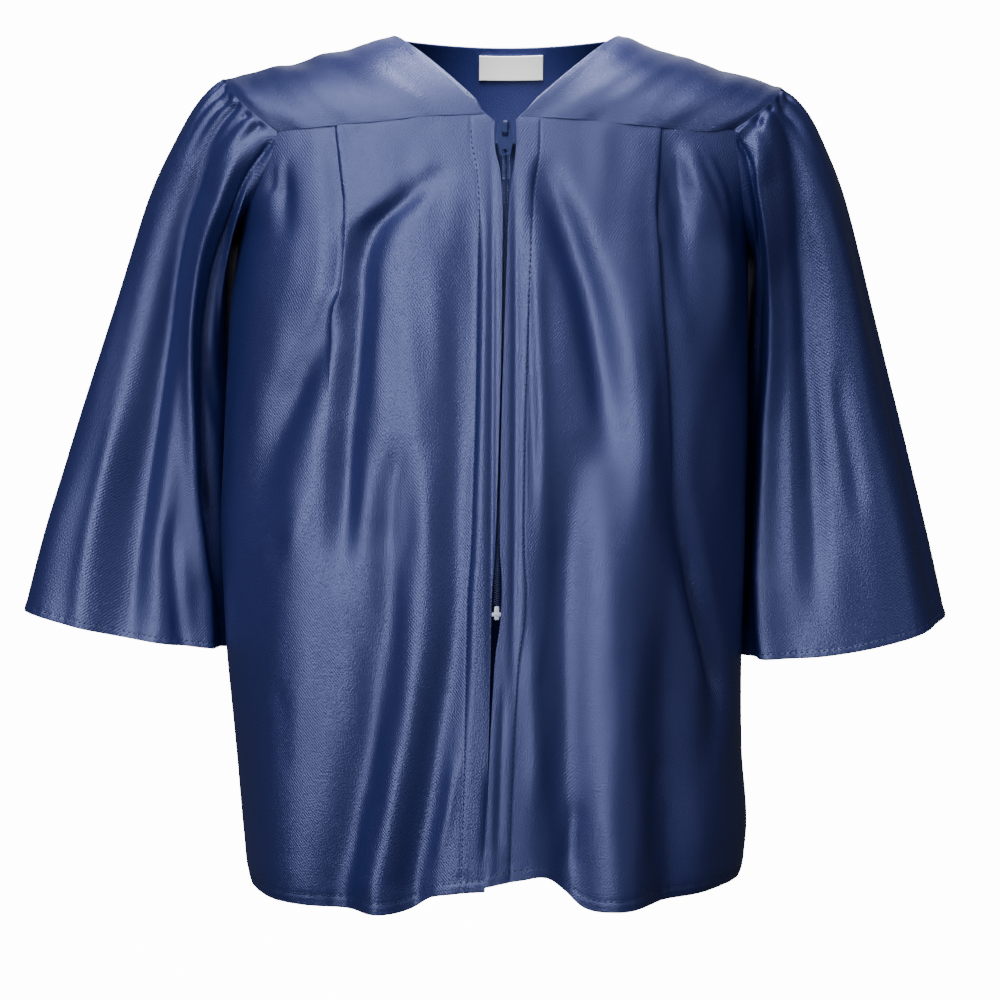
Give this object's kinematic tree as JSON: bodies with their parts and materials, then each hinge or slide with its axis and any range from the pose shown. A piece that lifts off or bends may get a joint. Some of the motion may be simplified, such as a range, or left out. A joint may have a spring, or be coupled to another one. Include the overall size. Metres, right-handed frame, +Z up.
{
  "type": "graduation gown",
  "caption": "Child's satin graduation gown in its worn, hollow shape: yoked shoulders, V neck, zipped front, gathered bell sleeves and turned hems",
  "frame": {"origin": "between the shoulders at the height where the yoke rests on the wearer", "axes": "+Z up; +X towards the wearer's left; the front with its zip faces -Y"},
  "size_m": [0.6568, 0.2381, 0.5977],
  "materials": {
    "satin": "navy blue polyester satin, bright side out",
    "label": "white woven label, bare",
    "zip_tape": "navy woven zip tape",
    "zip_coil": "navy nylon coil",
    "zip_stop": "pale moulded end stop",
    "zip_enamel": "blue enamelled metal"
  },
  "bodies": {
    "gown": {"front_right": "satin", "front_left": "satin", "back": "satin", "front_yoke_right": "satin", "front_yoke_left": "satin", "back_yoke": "satin", "sleeve_right": "satin", "sleeve_left": "satin", "neck_facing_right": "satin", "neck_facing_left": "satin", "neck_label": "label", "zip_tape_right": "zip_tape", "zip_tape_left": "zip_tape", "zip_chain": "zip_coil", "zip_stop": "zip_stop", "zip_slider": "zip_enamel"},
    "pull_tab": {"zip_pull_tab": "zip_enamel"}
  },
  "joints": [
    {"name": "pull_tab_hinge", "type": "hinge", "parent": "gown", "child": "pull_tab", "pos_m": [0.0014, -0.08556, -0.06375], "axis": [-1, 0, 0], "range_deg": [0, 120]}
  ]
}
